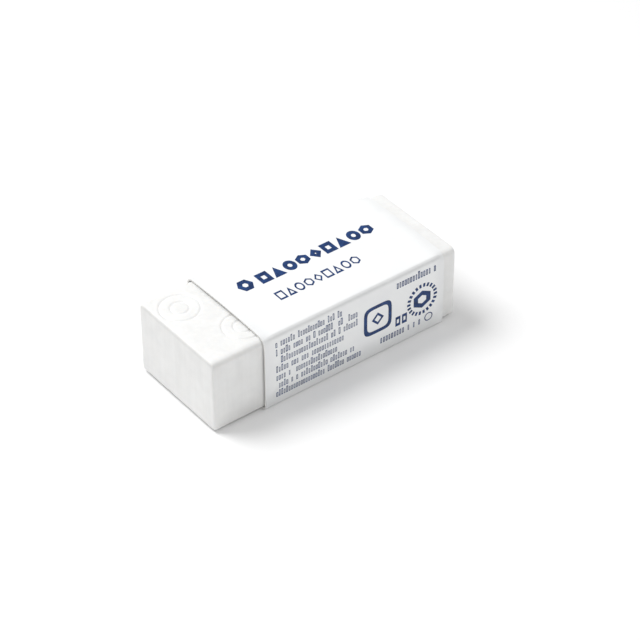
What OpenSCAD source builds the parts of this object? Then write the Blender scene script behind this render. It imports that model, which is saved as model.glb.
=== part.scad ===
// Small bar eraser: a moulded vinyl block in a folded and glued card sleeve.
// The block lies along X and stands on its sleeve at z = 0, with the sleeve's middle on y = 0.

/* [Block] */
// Length of the vinyl block, end face to end face
block_l = 43; // [25:0.5:70]
// Width of the vinyl block
block_w = 17.6; // [14:0.1:28]
// Height of the vinyl block
block_h = 11.9; // [9:0.1:18]
// Radius of the two long edges on top
top_edge_r = 1.0; // [0.5:0.1:2]
// Radius of the two long edges underneath
bottom_edge_r = 0.5; // [0.3:0.1:1.5]
// Radius of the edges round both end faces
end_edge_r = 0.35; // [0.2:0.05:1]

/* [Pressed marks on the top] */
// Outer diameter of one pressed ring mark
mark_d = 6.4; // [4:0.1:7]
// Outer diameter of the small ring inside it
mark_inner_d = 3.2; // [1.6:0.1:3.6]
// Width of a ring's groove
mark_groove = 0.5; // [0.3:0.05:0.6]
// Depth of a ring's groove
mark_depth = 0.15; // [0.05:0.05:0.3]
// Distance from one mark to the next in a row
mark_pitch = 9.2; // [8:0.1:14]
// Flat left between a mark and the rounding of the edges round it
mark_margin = 0.3; // [0.1:0.1:1]

/* [Sleeve] */
// Length of block that stands out of the sleeve at the -X end
bare_front = 8.5; // [2:0.1:12]
// Length of block that stands out of the sleeve at the +X end
bare_back = 2.5; // [1:0.1:8]
// Thickness of the card
card = 0.25; // [0.15:0.05:0.4]
// Clearance between the block and the card, each side
clearance = 0.1; // [0.05:0.05:0.3]
// Inside radius of a fold
fold_r = 0.1; // [0.05:0.05:0.25]
// Height of the glue lap inside the back panel
lap_h = 7.5; // [4:0.1:8]
// Gap between the lap's fold and the back panel's free edge
free_edge_gap = 0.2; // [0.1:0.05:0.5]

/* [Hidden] */
$fn = 64;
// Room for a cut to run past the face it opens.
past = 1;

// The sleeve's folds, seen along X: y to the right, z up.
sleeve_w = block_w + 2 * clearance + 3 * card;
sleeve_h = block_h + 2 * clearance + 2 * card;
front_y = -sleeve_w / 2;
back_y = sleeve_w / 2;
lap_back_y = back_y - card;
outer_fold_r = fold_r + card;
free_edge_z = outer_fold_r + free_edge_gap;
// The plain bottom panel gives way to the lap's fold at this y.
split_y = back_y - block_w / 4;

// The block lies in the tunnel between the front panel and the lap.
block_y = front_y + card + clearance + block_w / 2;
block_z = card + clearance + block_h / 2;
sleeve_l = block_l - bare_front - bare_back;
sleeve_x = -block_l / 2 + bare_front;

// A mark's centre keeps this far from the edges; the second row starts half a pitch further on.
mark_end_x = block_l / 2 - end_edge_r - mark_margin - mark_d / 2;
mark_row_y = block_w / 2 - top_edge_r - mark_margin - mark_d / 2;

// A rectangle from one corner to the other, its lower and its upper corners each rounded by their own radius.
module rounded_rect(low, high, low_r, high_r) {
    size = high - low;
    translate([low.x, low.y + low_r]) square([size.x, size.y - low_r - high_r]);
    translate([low.x + low_r, low.y]) square([size.x - 2 * low_r, size.y / 2]);
    translate([low.x + high_r, low.y + size.y / 2]) square([size.x - 2 * high_r, size.y / 2]);
    for (x = [low.x + low_r, high.x - low_r]) translate([x, low.y + low_r]) circle(low_r);
    for (x = [low.x + high_r, high.x - high_r]) translate([x, high.y - high_r]) circle(high_r);
}

// A flat outline centred on the origin, made into a slab as thick as asked and centred too.
module slab(w, h, thick, low_r, high_r) {
    linear_extrude(thick, center = true) rounded_rect([-w / 2, -h / 2], [w / 2, h / 2], low_r, high_r);
}

// The block's body: three slabs crossed, so that the long edges and the end edges keep their own radii.
module block_body() {
    intersection() {
        rotate([90, 0, 90]) slab(block_w, block_h, block_l, bottom_edge_r, top_edge_r);
        rotate([90, 0, 0]) slab(block_l, block_h, block_w + past, end_edge_r, end_edge_r);
        slab(block_l, block_w, block_h + past, end_edge_r, end_edge_r);
    }
}

// One ring groove, cut down from z = 0.
module ring_groove(d) {
    translate([0, 0, -mark_depth]) difference() {
        cylinder(h = mark_depth + past, d = d);
        translate([0, 0, -past]) cylinder(h = mark_depth + 3 * past, d = d - 2 * mark_groove);
    }
}

// Both rows of pressed marks, on the plane z = 0.
module mark_rows() {
    for (row = [0, 1])
        for (x = [-mark_end_x + row * mark_pitch / 2 : mark_pitch : mark_end_x])
            translate([x, (1 - 2 * row) * mark_row_y, 0]) {
                ring_groove(mark_d);
                ring_groove(mark_inner_d);
            }
}

module eraser_block() {
    color("white") translate([0, block_y, block_z]) difference() {
        block_body();
        translate([0, 0, block_h / 2]) mark_rows();
    }
}

// The wall of a folded tube, from the front panel's outer face to the outer face at y = to_y.
module folded_wall(to_y) {
    difference() {
        rounded_rect([front_y, 0], [to_y, sleeve_h], outer_fold_r, outer_fold_r);
        rounded_rect([front_y + card, card], [to_y - card, sleeve_h - card], fold_r, fold_r);
    }
}

// The sleeve's section: one sheet, its lap folded up from the bottom panel and glued inside the back panel.
module sleeve_section() {
    difference() {
        folded_wall(back_y);
        translate([split_y, -past]) square([block_w, free_edge_z + past]);
    }
    intersection() {
        folded_wall(lap_back_y);
        translate([split_y - past, -past]) square([block_w, lap_h + past]);
    }
}

module card_sleeve() {
    color("whitesmoke") translate([sleeve_x, 0, 0]) rotate([90, 0, 90])
        linear_extrude(sleeve_l) sleeve_section();
}

eraser_block();
card_sleeve();
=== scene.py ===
"""A small white vinyl bar eraser in its printed card sleeve, seen from its long bare end."""

import math

import bmesh
import bpy
import numpy as np
from mathutils import Matrix, Vector
from mathutils.bvhtree import BVHTree


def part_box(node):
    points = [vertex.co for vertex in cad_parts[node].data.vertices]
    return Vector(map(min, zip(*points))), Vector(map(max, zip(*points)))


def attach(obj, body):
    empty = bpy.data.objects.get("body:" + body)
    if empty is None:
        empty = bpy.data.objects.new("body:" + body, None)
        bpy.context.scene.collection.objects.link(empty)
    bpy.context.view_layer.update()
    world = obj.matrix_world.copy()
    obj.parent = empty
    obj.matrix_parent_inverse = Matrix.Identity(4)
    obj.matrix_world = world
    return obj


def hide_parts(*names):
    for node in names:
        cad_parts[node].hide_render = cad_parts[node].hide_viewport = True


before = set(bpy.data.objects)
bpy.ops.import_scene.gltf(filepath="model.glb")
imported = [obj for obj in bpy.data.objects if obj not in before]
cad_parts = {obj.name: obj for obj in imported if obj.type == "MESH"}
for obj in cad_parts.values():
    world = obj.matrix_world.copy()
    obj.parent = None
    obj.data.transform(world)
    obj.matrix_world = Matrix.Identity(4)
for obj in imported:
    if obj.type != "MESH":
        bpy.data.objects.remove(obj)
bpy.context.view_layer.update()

MM = 0.001

# The card. Its folds are softer than in the part's source, as card really lies round a soft block.
CARD = 0.25 * MM
LOW_FOLD_R = 0.25 * MM
TOP_FOLD_R = 1.0 * MM
LAP_H = 7.5 * MM
# The layer of glue between the lap and the back panel.
GLUE = 0.01 * MM
# The back panel's free edge, just above the lap's fold.
FREE_EDGE_Z = LOW_FOLD_R + CARD + 0.1 * MM
# From here up the back panel leans in against the block, by the card's thickness at the top.
LEAN_START_Z = LAP_H + 0.2 * MM
TOP_LEAN = CARD

# How far the card's open panels bow out between their folds.
TOP_BOW = 0.4 * MM
SIDE_BOW = 0.18 * MM

# The thickness of a skin of ink, half of it soaked in.
INK_THICKNESS = 0.02 * MM
# How far off the card the print starts on its way to it.
PRINT_START = 5 * MM

# The block's rounded edges: the long ones on top and underneath, and the ones round both end faces.
TOP_EDGE_R = 1.0 * MM
BOTTOM_EDGE_R = 0.5 * MM
END_EDGE_R = 0.35 * MM

# The pressed ring marks in the block's top.
MARK_D = 6.4 * MM
MARK_INNER_D = 3.2 * MM
MARK_GROOVE = 0.5 * MM
MARK_DEPTH = 0.15 * MM
MARK_PITCH = 9.2 * MM
MARK_MARGIN = 0.3 * MM

# How finely the block's skin is laid out: its mesh width, and the steps in a quarter turn of an edge.
SKIN_SPACING = 0.5 * MM
EDGE_STEPS = 6

# Where the camera stands, what it looks at and through what.
CAMERA_PLACE = Vector((-175.7, -234.7, 238.9)) * MM
CAMERA_TARGET = Vector((0.6, -4.1, 6.3)) * MM
CAMERA_ROLL_DEG = -0.31
LENS_MM = 147.2
SENSOR_MM = 36.0

BLOCK_LOW, BLOCK_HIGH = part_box("eraser_block")
SLEEVE_LOW, SLEEVE_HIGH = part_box("card_sleeve")
BLOCK_MIDDLE = (BLOCK_LOW + BLOCK_HIGH) / 2

# The kinds of node that are used most.
MATH = "ShaderNodeMath"
MAP_RANGE = "ShaderNodeMapRange"
NOISE = "ShaderNodeTexNoise"
SPLIT_XYZ = "ShaderNodeSeparateXYZ"
JOIN_XYZ = "ShaderNodeCombineXYZ"


# Small helpers


def linear(code):
    """An sRGB hex colour as linear RGBA."""
    channels = [int(code[i:i + 2], 16) / 255 for i in (1, 3, 5)]
    light = [c / 12.92 if c <= 0.04045 else ((c + 0.055) / 1.055) ** 2.4 for c in channels]
    return light + [1.0]


def add(tree, kind, inputs=None, stops=(), **settings):
    """Adds a node with its settings, its colour ramp's (place, hex colour) stops, and its inputs.

    An input is a value, another node's output to link, or another node for its first output.
    """
    made = tree.nodes.new(kind)
    for name, value in settings.items():
        setattr(made, name, value)
    for i, (where, code) in enumerate(stops):
        made.color_ramp.elements[i].position = where
        made.color_ramp.elements[i].color = linear(code)
    for key, value in (inputs or {}).items():
        if isinstance(value, bpy.types.Node):
            value = value.outputs[0]
        if isinstance(value, bpy.types.NodeSocket):
            tree.links.new(value, made.inputs[key])
        else:
            made.inputs[key].default_value = value
    return made


def mesh_object(name, verts, faces, materials=(), edges=()):
    """A new object at the origin, with its place in its mesh."""
    mesh = bpy.data.meshes.new(name)
    mesh.from_pydata([tuple(v) for v in verts], edges, faces)
    for material in materials:
        mesh.materials.append(material)
    made = bpy.data.objects.new(name, mesh)
    bpy.context.collection.objects.link(made)
    return made


def applied(obj):
    """A plain mesh object in the object's place, with its modifiers worked in."""
    bpy.context.view_layer.update()
    graph = bpy.context.evaluated_depsgraph_get()
    mesh = bpy.data.meshes.new_from_object(obj.evaluated_get(graph))
    name = obj.name
    bpy.data.objects.remove(obj)
    mesh.name = name
    made = bpy.data.objects.new(name, mesh)
    bpy.context.collection.objects.link(made)
    return made


def smooth(obj, angle_deg):
    """Shades an object smooth, and keeps edges sharper than the angle crisp."""
    obj.data.shade_smooth()
    obj.data.set_sharp_from_angle(angle=math.radians(angle_deg))


def set_materials(obj, *materials):
    """Gives a mesh just these materials, and all its faces the first."""
    obj.data.materials.clear()
    for material in materials:
        obj.data.materials.append(material)
    obj.data.polygons.foreach_set("material_index", [0] * len(obj.data.polygons))


def geometry_tree(name, sizes):
    """A Geometry Nodes tree that takes a geometry and each size by its name, and gives a geometry."""
    tree = bpy.data.node_groups.new(name, "GeometryNodeTree")
    tree.interface.new_socket("Geometry", in_out="INPUT", socket_type="NodeSocketGeometry")
    for size, value in sizes.items():
        kind = "NodeSocketInt" if isinstance(value, int) else "NodeSocketFloat"
        tree.interface.new_socket(size, in_out="INPUT", socket_type=kind).default_value = value
    tree.interface.new_socket("Material", in_out="INPUT", socket_type="NodeSocketMaterial")
    tree.interface.new_socket("Geometry", in_out="OUTPUT", socket_type="NodeSocketGeometry")
    return tree, add(tree, "NodeGroupInput").outputs


def run_tree(obj, tree, sizes, material):
    """Runs a tree on an object with these sizes, and gives the result as a plain mesh object."""
    modifier = obj.modifiers.new(tree.name, "NODES")
    modifier.node_group = tree
    for item in tree.interface.items_tree:
        if item.in_out == "INPUT" and item.name in sizes:
            modifier[item.identifier] = sizes[item.name]
        if item.in_out == "INPUT" and item.name == "Material":
            modifier[item.identifier] = material
    return applied(obj)


def end_tree(tree, geometry, material):
    """Every geometry tree's end: real instances, then the material."""
    real = add(tree, "GeometryNodeRealizeInstances", {"Geometry": geometry})
    made = add(tree, "GeometryNodeSetMaterial", {"Geometry": real, "Material": material})
    add(tree, "NodeGroupOutput", {"Geometry": made})


# Materials


def material_tree(name):
    """A new material, its emptied tree, and the place on the object that its patterns read."""
    material = bpy.data.materials.new(name)
    material.use_nodes = True
    tree = material.node_tree
    tree.nodes.clear()
    place = add(tree, "ShaderNodeTexCoord").outputs["Object"]
    return material, tree, place


def surface(tree, inputs):
    """Every material tree's end: one shader with these inputs."""
    shader = add(tree, "ShaderNodeBsdfPrincipled", inputs)
    add(tree, "ShaderNodeOutputMaterial", {"Surface": shader})


def painted_shade(tree, place, half_width, top, mouth_share):
    """Where shade is painted in, patchily: low down, along the top's edges and, less, by the sleeve's
    mouths.
    """
    axes = add(tree, SPLIT_XYZ, {0: place}).outputs
    off_x = add(tree, MATH, {0: axes["X"]}, operation="ABSOLUTE")
    off_y = add(tree, MATH, {0: axes["Y"]}, operation="ABSOLUTE")
    from_end = add(tree, MATH, {0: BLOCK_HIGH.x, 1: off_x}, operation="SUBTRACT")
    from_mouths = {}
    for i, mouth_x in enumerate((SLEEVE_LOW.x, SLEEVE_HIGH.x)):
        aside = add(tree, MATH, {0: axes["X"], 1: mouth_x}, operation="SUBTRACT")
        from_mouths[i] = add(tree, MATH, {0: aside}, operation="ABSOLUTE")
    from_mouth = add(tree, MATH, from_mouths, operation="MINIMUM")

    # Each band of painted shade fades in softly, from where there is none of it to where there is all of
    # it.
    reaches = {
        "low": (axes["Z"], SLEEVE_LOW.z + 4.2 * MM, SLEEVE_LOW.z + 0.7 * MM),
        "off the end": (from_end, -1.0 * MM, 6.0 * MM),
        "mouth": (from_mouth, 2.4 * MM, 0.1 * MM),
        "side edge": (off_y, half_width - 0.45 * MM, half_width - 0.1 * MM),
        "end edge": (off_x, BLOCK_HIGH.x - 0.3 * MM, BLOCK_HIGH.x),
        "high": (axes["Z"], top - 0.9 * MM, top - 0.2 * MM),
    }
    shade_ramps = {}
    for name, (value, none, full) in reaches.items():
        shade_ramps[name] = add(tree, MAP_RANGE, {
            "Value": value, "From Min": none, "From Max": full,
        }, interpolation_type="SMOOTHSTEP")
    # Painted shade low down fades out towards the block's ends.
    low = add(tree, MATH, {0: shade_ramps["low"], 1: shade_ramps["off the end"]}, operation="MULTIPLY")
    mouth = add(tree, MATH, {0: shade_ramps["mouth"], 1: mouth_share}, operation="MULTIPLY")
    edges = add(tree, MATH, {0: shade_ramps["side edge"], 1: shade_ramps["end edge"]}, operation="MAXIMUM")
    high_edges = add(tree, MATH, {0: edges, 1: shade_ramps["high"]}, operation="MULTIPLY")
    shade_amount = add(tree, MATH, {0: low, 1: mouth}, operation="MAXIMUM")
    shade_amount = add(tree, MATH, {0: shade_amount, 1: high_edges}, operation="MAXIMUM")
    patch = add(tree, NOISE, {"Vector": place, "Scale": 1 / (1.6 * MM), "Detail": 3.0})
    patchy = add(tree, MATH, {0: patch, 1: 0.5, 2: 0.75}, operation="MULTIPLY_ADD")
    return add(tree, MATH, {0: shade_amount, 1: patchy}, operation="MULTIPLY")


def shaded_tone(tree, tone, shade_mask, most, code):
    """A tone that goes at most this share of the way to the grey of its painted shade."""
    share = add(tree, MATH, {0: shade_mask, 1: most}, operation="MULTIPLY")
    # A Mix node's two colours are its inputs 6 and 7, and the mixed colour is its output 2.
    mixed = add(tree, "ShaderNodeMix", {0: share, 6: tone, 7: linear(code)}, data_type="RGBA")
    return mixed.outputs[2]


def moulded_vinyl():
    """Filled soft vinyl, pressed in a steel mould: even, slightly waxy white with a fine dull skin.

    Upright drag lines show faintly on its sides, and painted shade greys it low down, along its top edges
    and, less, by the sleeve's mouths.
    """
    material, tree, place = material_tree("moulded_vinyl")
    # The real skin and drag lines are finer: here they are as coarse as they need to be to show.
    skin = add(tree, NOISE, {"Vector": place, "Scale": 1 / (0.22 * MM), "Detail": 3.0})
    upright = add(tree, "ShaderNodeMapping", {"Vector": place, "Scale": (1.0, 1.0, 0.06)})
    drag = add(tree, NOISE, {"Vector": upright, "Scale": 1 / (0.7 * MM), "Detail": 3.0})
    swell = add(tree, NOISE, {"Vector": place, "Scale": 1 / (5.0 * MM), "Detail": 1.0})
    cloud = add(tree, NOISE, {"Vector": place, "Scale": 1 / (2.2 * MM), "Detail": 4.0})
    clouded = add(tree, MATH, {0: cloud, 1: 0.6}, operation="MULTIPLY")
    mixed = add(tree, MATH, {0: drag, 1: 0.4, 2: clouded}, operation="MULTIPLY_ADD")
    tone = add(tree, "ShaderNodeValToRGB", {"Fac": mixed}, stops=[(0.35, "#e3e3e2"), (0.65, "#ebebea")])
    half_width = (BLOCK_HIGH.y - BLOCK_LOW.y) / 2
    # Painted shade: the vinyl goes towards a grey low down, along its top edges and by the sleeve's
    # mouths.
    shade_mask = painted_shade(tree, place, half_width, top=BLOCK_HIGH.z, mouth_share=0.25)
    normal = add(tree, "ShaderNodeBump", {"Height": swell, "Distance": 0.06 * MM})
    normal = add(tree, "ShaderNodeBump", {"Height": drag, "Distance": 0.012 * MM, "Normal": normal})
    normal = add(tree, "ShaderNodeBump", {"Height": skin, "Distance": 0.008 * MM, "Normal": normal})
    surface(tree, {
        "Base Color": shaded_tone(tree, tone, shade_mask, most=0.32, code="#bdbcb9"),
        "Roughness": 0.5,
        "IOR": 1.5,
        "Subsurface Weight": 0.2,
        "Subsurface Radius": (1.0, 0.9, 0.8),
        "Subsurface Scale": 0.6 * MM,
        "Normal": normal,
    })
    return material


def coated_card():
    """Clay-coated folding card: clean white with a low satin gloss over a very faint fibre.

    Painted shade greys its white a little low down, along its top folds and at the two mouths.
    """
    material, tree, place = material_tree("coated_card")
    # Paper fibre is finer: here it is as coarse as it needs to be to show.
    fibre = add(tree, NOISE, {"Vector": place, "Scale": 1 / (0.35 * MM), "Detail": 4.0, "Roughness": 0.6})
    cloud = add(tree, NOISE, {"Vector": place, "Scale": 1 / (3.0 * MM), "Detail": 2.0})
    tone = add(tree, "ShaderNodeValToRGB", {"Fac": cloud}, stops=[(0.3, "#ecedee"), (0.7, "#f0f1f1")])
    half_width = SLEEVE_HIGH.y - 0.175 * MM
    # Painted shade: the card goes towards a grey low down, along its top folds and at its mouths.
    shade_mask = painted_shade(tree, place, half_width, top=SLEEVE_HIGH.z, mouth_share=0.35)
    surface(tree, {
        "Base Color": shaded_tone(tree, tone, shade_mask, most=0.42, code="#bfc0c0"),
        "Roughness": 0.38,
        "IOR": 1.5,
        "Coat Weight": 0.15,
        "Coat Roughness": 0.25,
        "Normal": add(tree, "ShaderNodeBump", {"Height": fibre, "Distance": 0.006 * MM}),
    })
    return material


def uncoated_card():
    """The card's bare inside and cut edges: pulp, a little greyer, quite dull."""
    material, tree, place = material_tree("uncoated_card")
    fibre = add(tree, NOISE, {"Vector": place, "Scale": 1 / (0.12 * MM), "Detail": 4.0, "Roughness": 0.7})
    tone = add(tree, "ShaderNodeValToRGB", {"Fac": fibre}, stops=[(0.3, "#e4e3e0"), (0.7, "#f0efed")])
    surface(tree, {
        "Base Color": tone,
        "Roughness": 0.85,
        "Normal": add(tree, "ShaderNodeBump", {"Height": fibre, "Distance": 0.02 * MM}),
    })
    return material


def offset_ink():
    """Dark blue offset ink on coated card: nearly even, a little mottled where it dried."""
    material, tree, place = material_tree("offset_ink")
    mottle = add(tree, NOISE, {"Vector": place, "Scale": 1 / (0.6 * MM), "Detail": 3.0})
    tone = add(tree, "ShaderNodeValToRGB", {"Fac": mottle}, stops=[(0.35, "#0f2b58"), (0.65, "#1c3f75")])
    surface(tree, {
        "Base Color": tone,
        "Roughness": 0.4,
        "Specular IOR Level": 0.3,
    })
    return material


def matt_backdrop():
    """Matt painted studio board: pale grey, with no gloss at all."""
    material, tree, _ = material_tree("matt_backdrop")
    surface(tree, {"Base Color": linear("#f2f2f2"), "Roughness": 0.9, "Specular IOR Level": 0.0})
    return material


VINYL = moulded_vinyl()
COATED = coated_card()
UNCOATED = uncoated_card()
INK = offset_ink()


# The block


def section_points(inset):
    """The block's section drawn in by an inset: (y, z) points that go round it, y to the right."""
    corners = (
        (1, -1, BOTTOM_EDGE_R), (1, 1, TOP_EDGE_R), (-1, 1, TOP_EDGE_R), (-1, -1, BOTTOM_EDGE_R),
    )
    half = (BLOCK_HIGH - BLOCK_LOW) / 2

    def on_arc(corner, angle):
        side, level, radius = corners[corner % 4]
        return np.array([
            BLOCK_MIDDLE.y + side * (half.y - radius) + (radius - inset) * math.cos(angle),
            BLOCK_MIDDLE.z + level * (half.z - radius) + (radius - inset) * math.sin(angle),
        ])

    points = []
    for corner in range(4):
        start = (corner - 1) * math.pi / 2
        stop = start + math.pi / 2
        turns = [start + (stop - start) * i / EDGE_STEPS for i in range(EDGE_STEPS + 1)]
        points += [on_arc(corner, turn) for turn in turns]
        here = points[-1]
        there = on_arc(corner + 1, stop)
        count = round(np.linalg.norm(there - here) / SKIN_SPACING)
        points += [here + (there - here) * i / count for i in range(1, count)]
    return points


def block_rings():
    """Each ring's x, its section's inset and its share of that section's size, from end to end."""
    rounding = []
    for i in range(EDGE_STEPS + 1):
        angle = math.pi / 2 * i / EDGE_STEPS
        depth = END_EDGE_R * (1 - math.cos(angle))
        inset = END_EDGE_R * (1 - math.sin(angle))
        rounding.append((depth, inset, 1.0))
    face = [(0.0, END_EDGE_R, share) for share in (0.1, 0.25, 0.4, 0.55, 0.7, 0.82, 0.92)]
    end = face + rounding
    inner = BLOCK_HIGH.x - BLOCK_LOW.x - 2 * END_EDGE_R
    count = round(inner / SKIN_SPACING)
    middle = [(BLOCK_LOW.x + END_EDGE_R + inner * i / count, 0.0, 1.0) for i in range(1, count)]
    return (
        [(BLOCK_LOW.x + depth, inset, share) for depth, inset, share in end]
        + middle
        + [(BLOCK_HIGH.x - depth, inset, share) for depth, inset, share in reversed(end)]
    )


def block_skin():
    """The block's vertices and faces: rings along X, and a fan that closes each end face."""
    middle = np.array([BLOCK_MIDDLE.y, BLOCK_MIDDLE.z])
    rings = block_rings()
    verts, faces = [], []
    for x, inset, share in rings:
        verts += [(x, *(middle + (point - middle) * share)) for point in section_points(inset)]
    around = len(verts) // len(rings)
    for ring in range(len(rings) - 1):
        for i in range(around):
            first = ring * around + i
            second = ring * around + (i + 1) % around
            faces.append((first, second, second + around, first + around))
    for start, x in ((0, BLOCK_LOW.x), (len(verts) - around, BLOCK_HIGH.x)):
        verts.append((x, *middle))
        faces += [(start + i, start + (i + 1) % around, len(verts) - 1) for i in range(around)]
    return verts, faces


def mark_places():
    """Where the pressed marks are: two rows along the top, the second half a pitch further on."""
    from_edge = MARK_MARGIN + MARK_D / 2
    end_x = BLOCK_HIGH.x - END_EDGE_R - from_edge
    row_y = (BLOCK_HIGH.y - BLOCK_LOW.y) / 2 - TOP_EDGE_R - from_edge
    places = []
    for row, way in enumerate((1, -1)):
        x = -end_x + row * MARK_PITCH / 2
        while x <= end_x + 1e-9:
            places.append((x, BLOCK_MIDDLE.y + way * row_y, BLOCK_HIGH.z))
            x += MARK_PITCH
    return places


def refine_marks(mesh, places):
    """Turns the skin's faces outwards, and cuts the flat top finer where a mark is pressed in."""
    work = bmesh.new()
    work.from_mesh(mesh)
    bmesh.ops.recalc_face_normals(work, faces=work.faces)
    reach = MARK_D / 2 + MARK_GROOVE
    edges = set()
    for face in work.faces:
        middle = face.calc_center_median()
        if face.normal.z > 0.999 and any((middle - Vector(p)).length < reach for p in places):
            edges.update(face.edges)
    bmesh.ops.subdivide_edges(work, edges=list(edges), cuts=4, use_grid_fill=True)
    work.to_mesh(mesh)
    work.free()


def pressed_marks_tree():
    """Sinks the top into soft-walled rings round the nearest of the marks' centres."""
    tree, sizes = geometry_tree("pressed_marks", {
        "Outer Radius": 3.0 * MM, "Inner Radius": 1.4 * MM, "Groove": 0.5 * MM,
        "Depth": 0.15 * MM, "Pitch": 9.2 * MM, "Row Y": 4.0 * MM,
        "First X": -17.0 * MM, "Middle Y": 0.0, "Top Z": 12.0 * MM, "Per Row": 4,
    })

    centres = add(tree, "GeometryNodeJoinGeometry")
    step = add(tree, JOIN_XYZ, {"X": sizes["Pitch"]})
    for row, way in enumerate((1, -1)):
        x = add(tree, MATH, {0: sizes["Pitch"], 1: row / 2, 2: sizes["First X"]}, operation="MULTIPLY_ADD")
        y = add(tree, MATH, {0: sizes["Row Y"], 1: way, 2: sizes["Middle Y"]}, operation="MULTIPLY_ADD")
        start = add(tree, JOIN_XYZ, {"X": x, "Y": y, "Z": sizes["Top Z"]})
        line = add(tree, "GeometryNodeMeshLine", {
            "Count": sizes["Per Row"], "Start Location": start, "Offset": step,
        })
        tree.links.new(line.outputs[0], centres.inputs[0])
    points = add(tree, "GeometryNodeMeshToPoints", {"Mesh": centres})
    nearest = add(tree, "GeometryNodeProximity", {0: points}, target_element="POINTS")

    def groove(radius):
        """1 on a ring's middle line, falling softly to 0 at its walls."""
        aside = add(tree, MATH, {0: nearest.outputs["Distance"], 1: radius}, operation="SUBTRACT")
        flat = add(tree, MATH, {0: sizes["Groove"], 1: 0.15}, operation="MULTIPLY")
        wall = add(tree, MATH, {0: sizes["Groove"], 1: 0.5}, operation="MULTIPLY")
        return add(tree, MAP_RANGE, {
            "Value": add(tree, MATH, {0: aside}, operation="ABSOLUTE"),
            "From Min": flat, "From Max": wall, "To Min": 1.0, "To Max": 0.0,
        }, interpolation_type="SMOOTHSTEP")

    rings = {0: groove(sizes["Outer Radius"]), 1: groove(sizes["Inner Radius"])}
    sunk = add(tree, MATH, rings, operation="MAXIMUM")
    deep = add(tree, MATH, {0: sunk, 1: sizes["Depth"]}, operation="MULTIPLY")
    down = add(tree, MATH, {0: deep, 1: -1.0}, operation="MULTIPLY")
    offset = add(tree, JOIN_XYZ, {"Z": down})
    moved = add(tree, "GeometryNodeSetPosition", {"Geometry": sizes["Geometry"], "Offset": offset})
    end_tree(tree, moved, sizes["Material"])
    return tree


def hand_cut_waver(mesh, amount, length, waves=7, seed=5):
    """Moves a mesh's faces in and out by a few hundredths, as pressed and cut vinyl lies."""
    rng = np.random.default_rng(seed)
    drawn = [(rng.normal(size=3), rng.uniform(0, math.tau), rng.normal(size=3)) for _ in range(waves)]
    places = np.empty(len(mesh.vertices) * 3)
    mesh.vertices.foreach_get("co", places)
    places = places.reshape(-1, 3)
    shift = np.zeros_like(places)
    for way, phase, pull in drawn:
        shift += np.sin(places @ (way / length) + phase)[:, None] * pull[None, :]
    places += shift * amount / waves
    mesh.vertices.foreach_set("co", places.ravel())


def make_block():
    places = mark_places()
    first_x, first_y, _ = places[0]
    block = mesh_object("vinyl_block", *block_skin())
    refine_marks(block.data, places)
    block = run_tree(block, pressed_marks_tree(), {
        "Outer Radius": (MARK_D - MARK_GROOVE) / 2,
        "Inner Radius": (MARK_INNER_D - MARK_GROOVE) / 2,
        "Groove": MARK_GROOVE,
        "Depth": MARK_DEPTH,
        "Pitch": MARK_PITCH,
        "Row Y": first_y - BLOCK_MIDDLE.y,
        "First X": first_x,
        "Middle Y": BLOCK_MIDDLE.y,
        "Top Z": BLOCK_HIGH.z,
        "Per Row": sum(y == first_y for _, y, _ in places),
    }, VINYL)
    hand_cut_waver(block.data, amount=0.03 * MM, length=9 * MM)
    smooth(block, angle_deg=50)
    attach(block, "block")
    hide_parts("eraser_block")


make_block()


# The sleeve


def sleeve_line():
    """The middle of the sheet, seen along X: a point at each fold, from the lap to the free edge."""
    half = CARD / 2
    back = SLEEVE_HIGH.y - half
    lap = back - CARD - GLUE
    front = SLEEVE_LOW.y + half
    bottom = SLEEVE_LOW.z + half
    top = SLEEVE_HIGH.z - half
    return [
        (lap, LAP_H), (lap, bottom), (front, bottom), (front, top),
        (back - TOP_LEAN, top), (back, LEAN_START_Z), (back, FREE_EDGE_Z),
    ]


def section_curve(name, points, x):
    """A straight-sided curve at this x through (y, z) points."""
    curve = bpy.data.curves.new(name, "CURVE")
    curve.dimensions = "3D"
    spline = curve.splines.new("POLY")
    spline.points.add(len(points) - 1)
    for point, (y, z) in zip(spline.points, points):
        point.co = (x, y, z, 1)
    made = bpy.data.objects.new(name, curve)
    bpy.context.collection.objects.link(made)
    return made


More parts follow.
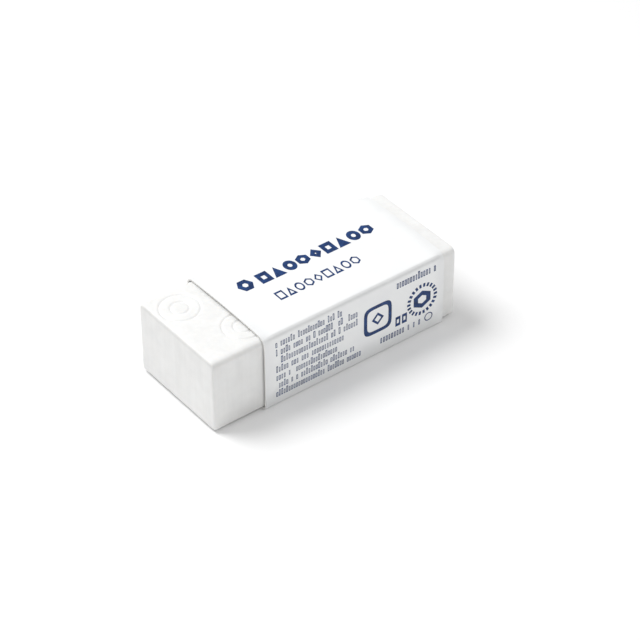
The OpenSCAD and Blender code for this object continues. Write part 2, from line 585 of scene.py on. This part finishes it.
def folded_card_tree():
    """Sweeps the filleted section along X as one sheet, creases its top folds and bows its panels."""
    tree, sizes = geometry_tree("folded_card", {
        "Length": 32.0 * MM, "Low Fold Radius": 0.7 * MM, "Top Fold Radius": 1.1 * MM, "Fold Steps": 7,
        "Crease": 0.8, "Crease End": 0.9, "Bow": 0.2 * MM, "Side Bow": 0.2 * MM, "Middle Spread": 0.55,
        "Flare": 0.45, "Turn In": 0.3, "Half Width": 9.0 * MM, "Half Height": 6.0 * MM,
        "Middle Z": 6.0 * MM, "Top Lean": 0.25 * MM, "Spacing": 0.6 * MM, "Steps Along": 97,
    })
    top_r = sizes["Top Fold Radius"]
    low_r = sizes["Low Fold Radius"]

    # The section: rounded at the folds, and cut evenly between them.
    here = add(tree, "GeometryNodeInputPosition")
    height = add(tree, SPLIT_XYZ, {0: here}).outputs["Z"]
    is_top = add(tree, MATH, {0: height, 1: sizes["Middle Z"]}, operation="GREATER_THAN")
    softer = add(tree, MATH, {0: top_r, 1: low_r}, operation="SUBTRACT")
    fold_r = add(tree, MATH, {0: is_top, 1: softer, 2: low_r}, operation="MULTIPLY_ADD")
    folded = add(tree, "GeometryNodeFilletCurve", {
        "Curve": sizes["Geometry"], "Count": sizes["Fold Steps"], "Radius": fold_r, "Limit Radius": True,
    }, mode="POLY")
    order = add(tree, "GeometryNodeInputIndex")
    run = add(tree, "GeometryNodeSplineParameter").outputs["Length"]
    next_order = add(tree, MATH, {0: order, 1: 1.0}, operation="ADD")
    next_run = add(tree, "GeometryNodeFieldAtIndex", {
        "Value": run, "Index": next_order,
    }, data_type="FLOAT", domain="POINT")
    stretch = add(tree, MATH, {0: next_run, 1: run}, operation="SUBTRACT")
    spacings = add(tree, MATH, {0: stretch, 1: sizes["Spacing"]}, operation="DIVIDE")
    whole = add(tree, MATH, {0: spacings}, operation="FLOOR")
    cuts = add(tree, MATH, {0: whole, 1: 0.0}, operation="MAXIMUM")
    section = add(tree, "GeometryNodeSubdivideCurve", {"Curve": folded, "Cuts": cuts})

    # The sheet: a grid whose rows each take the section's points, one step further along.
    counts = add(tree, "GeometryNodeAttributeDomainSize", {0: section}, component="CURVE")
    around = counts.outputs["Point Count"]
    sheet = add(tree, "GeometryNodeMeshGrid", {
        "Size X": 1.0, "Size Y": 1.0, "Vertices X": sizes["Steps Along"], "Vertices Y": around,
    })
    across = add(tree, MATH, {0: order, 1: around}, operation="MODULO")
    half_on = add(tree, MATH, {0: order, 1: 0.5}, operation="ADD")
    rows = add(tree, MATH, {0: half_on, 1: around}, operation="DIVIDE")
    row = add(tree, MATH, {0: rows}, operation="FLOOR")
    last_row = add(tree, MATH, {0: sizes["Steps Along"], 1: 1.0}, operation="SUBTRACT")
    along = add(tree, MATH, {0: row, 1: last_row}, operation="DIVIDE")
    spot = add(tree, "GeometryNodeSampleIndex", {
        "Geometry": section, "Value": here, "Index": across,
    }, data_type="FLOAT_VECTOR", domain="POINT")
    flat = add(tree, SPLIT_XYZ, {0: spot}).outputs
    side = add(tree, MATH, {0: flat["Y"]}, operation="SIGN")
    raised = add(tree, MATH, {0: flat["Z"], 1: sizes["Middle Z"]}, operation="SUBTRACT")
    twice_along = add(tree, MATH, {0: along, 1: 2.0, 2: -1.0}, operation="MULTIPLY_ADD")
    off_middle = add(tree, MATH, {0: twice_along}, operation="ABSOLUTE")

    # The top folds are creased sharp along the sleeve, but follow the block's round edges at its mouths.
    def into_fold(offset, half):
        """How far into a top fold a point is: 0 where the flat panel ends, 1 at its outside."""
        panel_end = add(tree, MATH, {0: half, 1: top_r}, operation="SUBTRACT")
        return add(tree, MAP_RANGE, {"Value": offset, "From Min": panel_end, "From Max": half})

    half_lean = add(tree, MATH, {0: sizes["Top Lean"], 1: 0.5}, operation="MULTIPLY")
    straight_y = add(tree, MATH, {0: flat["Y"], 1: half_lean}, operation="ADD")
    from_middle = add(tree, MATH, {0: straight_y}, operation="ABSOLUTE")
    half_top = add(tree, MATH, {0: sizes["Half Width"], 1: half_lean}, operation="SUBTRACT")
    fold_y = into_fold(from_middle, half_top)
    fold_z = into_fold(raised, sizes["Half Height"])
    lesser = add(tree, MATH, {0: fold_y, 1: fold_z}, operation="MINIMUM")
    greater = add(tree, MATH, {0: fold_y, 1: fold_z}, operation="MAXIMUM")
    in_fold = add(tree, MATH, {0: lesser, 1: 1e-4}, operation="GREATER_THAN")
    outer = add(tree, MATH, {0: greater, 1: 0.5}, operation="MAXIMUM")
    to_corner = add(tree, MATH, {0: 1.0, 1: outer}, operation="DIVIDE")
    push = add(tree, MATH, {0: to_corner, 1: 1.0}, operation="SUBTRACT")
    off_mouth = add(tree, MAP_RANGE, {
        "Value": off_middle, "From Min": sizes["Crease End"], "From Max": 1.0,
        "To Min": 1.0, "To Max": 0.0,
    }, interpolation_type="SMOOTHSTEP")
    crease = push
    for share in (in_fold, off_mouth, sizes["Crease"], top_r):
        crease = add(tree, MATH, {0: crease, 1: share}, operation="MULTIPLY")

    # The panels bow out. The tube spreads towards its mouths, and its cut edges turn back in a little.
    def crown(offset, half):
        """1 in the middle of a panel and 0 at its folds."""
        share = add(tree, MATH, {0: offset, 1: half}, operation="DIVIDE")
        square = add(tree, MATH, {0: share, 1: share}, operation="MULTIPLY")
        return add(tree, MATH, {0: 1.0, 1: square}, operation="SUBTRACT", use_clamp=True)

    to_mouth = add(tree, MATH, {0: off_middle, 1: 3.0}, operation="POWER")
    to_cut = add(tree, MATH, {0: off_middle, 1: 30.0}, operation="POWER")
    flared = add(tree, MATH, {
        0: to_mouth, 1: sizes["Flare"], 2: sizes["Middle Spread"],
    }, operation="MULTIPLY_ADD")
    turned_in = add(tree, MATH, {0: to_cut, 1: sizes["Turn In"]}, operation="MULTIPLY")
    spread = add(tree, MATH, {0: flared, 1: turned_in}, operation="SUBTRACT")
    is_upper = add(tree, MATH, {0: raised, 1: 0.0}, operation="GREATER_THAN")
    rise = crown(flat["Y"], sizes["Half Width"])
    for share in (is_upper, sizes["Bow"], spread):
        rise = add(tree, MATH, {0: rise, 1: share}, operation="MULTIPLY")
    bulge = crown(raised, sizes["Half Height"])
    for share in (sizes["Side Bow"], spread):
        bulge = add(tree, MATH, {0: bulge, 1: share}, operation="MULTIPLY")

    outwards = add(tree, MATH, {0: crease, 1: fold_y, 2: bulge}, operation="MULTIPLY_ADD")
    upwards = add(tree, MATH, {0: crease, 1: fold_z, 2: rise}, operation="MULTIPLY_ADD")
    place = add(tree, JOIN_XYZ, {
        "X": add(tree, MATH, {0: along, 1: sizes["Length"], 2: flat["X"]}, operation="MULTIPLY_ADD"),
        "Y": add(tree, MATH, {0: outwards, 1: side, 2: flat["Y"]}, operation="MULTIPLY_ADD"),
        "Z": add(tree, MATH, {0: upwards, 1: flat["Z"]}, operation="ADD"),
    })
    moved = add(tree, "GeometryNodeSetPosition", {"Geometry": sheet, "Position": place})
    end_tree(tree, moved, sizes["Material"])
    return tree


def make_sleeve():
    half = CARD / 2
    size = SLEEVE_HIGH - SLEEVE_LOW
    sleeve = section_curve("card_wrap", sleeve_line(), SLEEVE_LOW.x)
    sleeve = run_tree(sleeve, folded_card_tree(), {
        "Length": size.x,
        "Low Fold Radius": LOW_FOLD_R + half,
        "Top Fold Radius": TOP_FOLD_R + half,
        "Bow": TOP_BOW,
        "Side Bow": SIDE_BOW,
        "Half Width": size.y / 2 - half,
        "Half Height": size.z / 2 - half,
        "Middle Z": (SLEEVE_HIGH.z + SLEEVE_LOW.z) / 2,
        "Top Lean": TOP_LEAN,
    }, COATED)
    set_materials(sleeve, COATED, UNCOATED)
    thick = sleeve.modifiers.new("thickness", "SOLIDIFY")
    thick.thickness = CARD
    thick.offset = 0.0
    thick.use_even_offset = True
    thick.material_offset = 1
    thick.material_offset_rim = 1
    sleeve = applied(sleeve)
    smooth(sleeve, angle_deg=40)
    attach(sleeve, "sleeve")
    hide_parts("card_sleeve")
    return sleeve


SLEEVE = make_sleeve()


# Print. Each panel's is drawn flat, as seen square on, and is then laid on the bowed card.


def bar(tree, width, height, x, y):
    """A flat bar with its middle at (x, y)."""
    flat = add(tree, "GeometryNodeMeshGrid", {
        "Size X": width, "Size Y": height, "Vertices X": 2, "Vertices Y": 2,
    })
    middle = add(tree, JOIN_XYZ, {"X": x, "Y": y})
    return add(tree, "GeometryNodeTransform", {"Geometry": flat, "Translation": middle})


def fine_print_tree():
    """Small open boxes along each line given: some taller, some narrower, and some left out."""
    tree, sizes = geometry_tree("fine_print", {
        "Pitch": 0.43 * MM, "Stroke": 0.11 * MM, "Width": 0.34 * MM, "Height": 0.82 * MM,
        "Least Width": 0.6, "Most Height": 1.4, "Tall Share": 0.2, "Kept Share": 0.84, "Seed": 4,
    })
    stroke = sizes["Stroke"]
    lines = add(tree, "GeometryNodeMeshToCurve", {"Mesh": sizes["Geometry"]})
    spots = add(tree, "GeometryNodeResampleCurve", {
        "Curve": lines, "Length": sizes["Pitch"],
    }, mode="LENGTH")

    # One box: two posts, and two rungs between them.
    between = add(tree, MATH, {0: sizes["Width"], 1: stroke}, operation="SUBTRACT")
    right = add(tree, MATH, {0: between, 1: 0.5}, operation="MULTIPLY")
    left = add(tree, MATH, {0: between, 1: -0.5}, operation="MULTIPLY")
    low = add(tree, MATH, {0: stroke, 1: 0.5}, operation="MULTIPLY")
    high = add(tree, MATH, {0: sizes["Height"], 1: low}, operation="SUBTRACT")
    middle = add(tree, MATH, {0: sizes["Height"], 1: 0.5}, operation="MULTIPLY")
    box = add(tree, "GeometryNodeJoinGeometry")
    for piece in (
        bar(tree, stroke, sizes["Height"], right, middle),
        bar(tree, stroke, sizes["Height"], left, middle),
        bar(tree, between, stroke, 0.0, low),
        bar(tree, between, stroke, 0.0, high),
    ):
        tree.links.new(piece.outputs[0], box.inputs[0])

    # What is left to chance at each spot. A Random Value node gives a number at its output 1, and
    # yes or no at its output 3.
    seeds = [add(tree, MATH, {0: sizes["Seed"], 1: step}, operation="ADD") for step in range(3)]
    is_tall = add(tree, "FunctionNodeRandomValue", {
        "Probability": sizes["Tall Share"], "Seed": seeds[0],
    }, data_type="BOOLEAN").outputs[3]
    is_kept = add(tree, "FunctionNodeRandomValue", {
        "Probability": sizes["Kept Share"], "Seed": seeds[1],
    }, data_type="BOOLEAN").outputs[3]
    width = add(tree, "FunctionNodeRandomValue", {
        2: sizes["Least Width"], 3: 1.0, "Seed": seeds[2],
    }, data_type="FLOAT").outputs[1]
    extra = add(tree, MATH, {0: sizes["Most Height"], 1: 1.0}, operation="SUBTRACT")
    height = add(tree, MATH, {0: is_tall, 1: extra, 2: 1.0}, operation="MULTIPLY_ADD")
    scale = add(tree, JOIN_XYZ, {"X": width, "Y": height, "Z": 1.0})
    placed = add(tree, "GeometryNodeInstanceOnPoints", {
        "Points": spots, "Selection": is_kept, "Instance": box, "Scale": scale,
    })
    end_tree(tree, placed, sizes["Material"])
    return tree


def tick_ring_tree():
    """Short ticks pointing at the centre, evenly round each point it is given."""
    tree, sizes = geometry_tree("tick_ring", {
        "Radius": 2.5 * MM, "Tick Length": 0.5 * MM, "Tick Width": 0.3 * MM, "Count": 24,
    })
    circle = add(tree, "GeometryNodeMeshCircle", {"Vertices": sizes["Count"], "Radius": sizes["Radius"]})
    order = add(tree, "GeometryNodeInputIndex")
    whole_turns = add(tree, MATH, {0: order, 1: math.tau}, operation="MULTIPLY")
    turn = add(tree, MATH, {0: whole_turns, 1: sizes["Count"]}, operation="DIVIDE")
    tick = add(tree, "GeometryNodeMeshGrid", {
        "Size X": sizes["Tick Length"], "Size Y": sizes["Tick Width"], "Vertices X": 2, "Vertices Y": 2,
    })
    ring = add(tree, "GeometryNodeInstanceOnPoints", {
        "Points": circle, "Instance": tick, "Rotation": add(tree, JOIN_XYZ, {"Z": turn}),
    })
    placed = add(tree, "GeometryNodeInstanceOnPoints", {"Points": sizes["Geometry"], "Instance": ring})
    end_tree(tree, placed, sizes["Material"])
    return tree


def taken_flat(obj):
    """A flat object's (points, faces), and the object is removed."""
    points = [(v.co.x, v.co.y) for v in obj.data.vertices]
    faces = [tuple(f.vertices) for f in obj.data.polygons]
    bpy.data.objects.remove(obj)
    return points, faces


def fine_print(tree, lines, **sizes):
    """Fine print as (points, faces), along lines given as (start x, end x, base line)."""
    points = []
    for start, end, base in lines:
        points += [(start, base, 0), (end, base, 0)]
    edges = [(2 * i, 2 * i + 1) for i in range(len(lines))]
    carrier = mesh_object("lines", points, [], edges=edges)
    return taken_flat(run_tree(carrier, tree, sizes, INK))


def tick_ring(centre, sizes):
    """A ring of ticks as (points, faces)."""
    carrier = mesh_object("ring_centre", [(*centre, 0)], [])
    return taken_flat(run_tree(carrier, tick_ring_tree(), sizes, INK))


def even_sides(count, turn_deg=0):
    """How far an even-sided shape reaches from its centre at an angle, its corners reaching 1."""
    part = math.tau / count
    turn = math.radians(turn_deg)
    return lambda angle: math.cos(part / 2) / math.cos((angle - turn) % part - part / 2)


def rounded_square(angle):
    """The same for a square with well rounded corners."""
    squareness = 5
    reach = abs(math.cos(angle)) ** squareness + abs(math.sin(angle)) ** squareness
    return reach ** (-1 / squareness)


def circle(angle):
    """The same for a circle."""
    return 1.0


def outline(reach, centre, width, height, stroke, steps=72):
    """A shape's stroke as (points, faces): its outer edge fills the width and height given."""
    angles = [math.tau * i / steps for i in range(steps)]
    shape = np.array([(reach(a) * math.cos(a), reach(a) * math.sin(a)) for a in angles])
    size = shape.max(axis=0) - shape.min(axis=0)
    middle = (shape.max(axis=0) + shape.min(axis=0)) / 2
    scale = np.array([width, height]) / size
    nearest = np.linalg.norm(shape * scale, axis=1).min()
    inner = max(0.0, 1 - stroke / nearest)
    points = []
    for share in (1.0, inner):
        points += ((shape * share - middle) * scale + np.array(centre)).tolist()
    faces = [(i, (i + 1) % steps, steps + (i + 1) % steps, steps + i) for i in range(steps)]
    if inner == 0:
        points = points[:steps + 1]
        faces = [(i, (i + 1) % steps, steps) for i in range(steps)]
    return points, faces


SHAPES = [even_sides(4, 45), even_sides(6, 30), even_sides(3, 90), even_sides(4), circle]


def shape_row(start_x, end_x, middle_y, height, stroke, count=9, gap=0.3 * MM):
    """A row of plain outlined shapes, none like the one before it."""
    pitch = (end_x - start_x + gap) / count
    flats = []
    for i in range(count):
        centre = (start_x + pitch * i + (pitch - gap) / 2, middle_y)
        flats.append(outline(SHAPES[2 * i % len(SHAPES)], centre, pitch - gap, height, stroke))
    return flats


def over_top(u, v):
    """Where a print point comes from, and which way it is laid on the top panel."""
    return Vector((u, v, SLEEVE_HIGH.z + PRINT_START)), Vector((0, 0, -1))


def before_front(u, v):
    """The same for the front panel."""
    return Vector((u, SLEEVE_LOW.y - PRINT_START, v)), Vector((0, 1, 0))


def make_print(name, flats, side):
    """Lays flat shapes on the card as a skin of ink, half of it soaked in."""
    tree = BVHTree.FromObject(SLEEVE, bpy.context.evaluated_depsgraph_get())
    verts, faces = [], []
    for points, flat_faces in flats:
        first = len(verts)
        verts += [tree.ray_cast(*side(u, v))[0] for u, v in points]
        faces += [tuple(first + i for i in face) for face in flat_faces]
    printed = mesh_object(name, verts, faces, [INK])
    ink = printed.modifiers.new("ink", "SOLIDIFY")
    ink.thickness = INK_THICKNESS
    ink.offset = 0.0
    printed = applied(printed)
    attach(printed, "sleeve")


def make_top_print():
    """A hexagonal ring and a row of bold shapes, and a row of thin ones under it."""
    left = SLEEVE_LOW.x
    flats = [outline(
        even_sides(6), centre=(left + 5.1 * MM, 2.0 * MM),
        width=2.6 * MM, height=2.5 * MM, stroke=0.75 * MM,
    )]
    flats += shape_row(
        start_x=left + 7.3 * MM, end_x=left + 27.6 * MM,
        middle_y=1.9 * MM, height=2.4 * MM, stroke=0.66 * MM,
    )
    flats += shape_row(
        start_x=left + 7.1 * MM, end_x=left + 21.6 * MM,
        middle_y=-2.8 * MM, height=1.9 * MM, stroke=0.24 * MM,
    )
    make_print("top_print", flats, over_top)


def make_front_print():
    """Seven lines and two captions of fine print, and between them the panel's plain marks."""
    left = SLEEVE_LOW.x
    first_line = 10.4 * MM
    line_pitch = 1.47 * MM
    line_ends = [left + end * MM for end in (13.3, 16.5, 16.1, 13.6, 12.4, 15.5, 16.7)]
    lines = [(left + 2 * MM, end, first_line - line_pitch * i) for i, end in enumerate(line_ends)]
    captions = [
        (left + 23.5 * MM, left + 30.3 * MM, first_line),
        (left + 20.6 * MM, left + 27.6 * MM, 1.9 * MM),
    ]
    tree = fine_print_tree()
    flats = [
        fine_print(tree, lines, Seed=4),
        fine_print(
            tree, captions, Seed=9, Pitch=0.47 * MM, Stroke=0.14 * MM, Width=0.38 * MM, Height=0.95 * MM,
        ),
    ]

    badge = (left + 19.9 * MM, 6.8 * MM)
    flats.append(outline(rounded_square, badge, width=5.05 * MM, height=5.05 * MM, stroke=0.6 * MM))
    flats.append(outline(even_sides(4), badge, width=2.2 * MM, height=2.2 * MM, stroke=0.35 * MM))
    for x in (left + 23.6 * MM, left + 24.8 * MM):
        flats.append(outline(
            even_sides(4, 45), centre=(x, 4.5 * MM), width=0.9 * MM, height=1.7 * MM, stroke=0.26 * MM,
        ))
    dial = (left + 28.0 * MM, 6.4 * MM)
    ticks = {"Radius": 2.45 * MM, "Tick Length": 0.62 * MM, "Tick Width": 0.4 * MM, "Count": 22}
    flats.append(tick_ring(dial, ticks))
    flats.append(outline(even_sides(6, 30), dial, width=3.1 * MM, height=3.1 * MM, stroke=0.72 * MM))
    small_ring = (left + 29.3 * MM, 2.6 * MM)
    flats.append(outline(circle, small_ring, width=1.5 * MM, height=1.5 * MM, stroke=0.16 * MM))
    make_print("front_print", flats, before_front)


make_top_print()
make_front_print()


# Floor, light and camera


def make_floor(half, gap):
    """A square floor that lies a gap under the sleeve, and reaches half its side each way."""
    level = SLEEVE_LOW.z - gap
    corners = [(x * half, y * half, level) for x, y in ((-1, -1), (1, -1), (1, 1), (-1, 1))]
    floor = mesh_object("floor", corners, [(0, 1, 2, 3)], [matt_backdrop()])


def aim(obj, place, target, roll_deg=0.0):
    """Puts an object at a place, looking at the target down its own -Z."""
    turned = (target - place).to_track_quat("-Z", "Y").to_matrix().to_4x4()
    rolled = Matrix.Rotation(math.radians(roll_deg), 4, "Z")
    obj.matrix_world = Matrix.Translation(place) @ turned @ rolled


def make_light(name, azimuth, elevation, distance, size, power):
    """A round soft light aimed at the origin; azimuth 0 is +X and 90 is +Y, in degrees."""
    a = math.radians(azimuth)
    e = math.radians(elevation)
    light = bpy.data.lights.new(name, "AREA")
    light.shape = "DISK"
    light.size = size
    light.energy = power
    made = bpy.data.objects.new(name, light)
    bpy.context.collection.objects.link(made)
    way = Vector((math.cos(a) * math.cos(e), math.sin(a) * math.cos(e), math.sin(e)))
    aim(made, way * distance, Vector((0, 0, 0)))


def make_world(strength):
    """Even white light from all round."""
    world = bpy.data.worlds.new("studio")
    bpy.context.scene.world = world
    world.use_nodes = True
    tree = world.node_tree
    tree.nodes.clear()
    sky = add(tree, "ShaderNodeBackground", {"Color": linear("#ffffff"), "Strength": strength})
    add(tree, "ShaderNodeOutputWorld", {"Surface": sky})


def make_camera():
    camera = bpy.data.cameras.new("camera")
    camera.lens = LENS_MM
    camera.sensor_width = SENSOR_MM
    made = bpy.data.objects.new("camera", camera)
    bpy.context.collection.objects.link(made)
    aim(made, CAMERA_PLACE, CAMERA_TARGET, CAMERA_ROLL_DEG)
    bpy.context.scene.camera = made


make_floor(half=1.5, gap=0.02 * MM)
make_light("softbox", azimuth=125, elevation=57, distance=0.5, size=0.31, power=1.97)
make_light("front_fill", azimuth=-75, elevation=50, distance=0.6, size=0.5, power=0.87)
make_world(strength=0.45)
make_camera()
bpy.context.scene.view_settings.view_transform = "Standard"
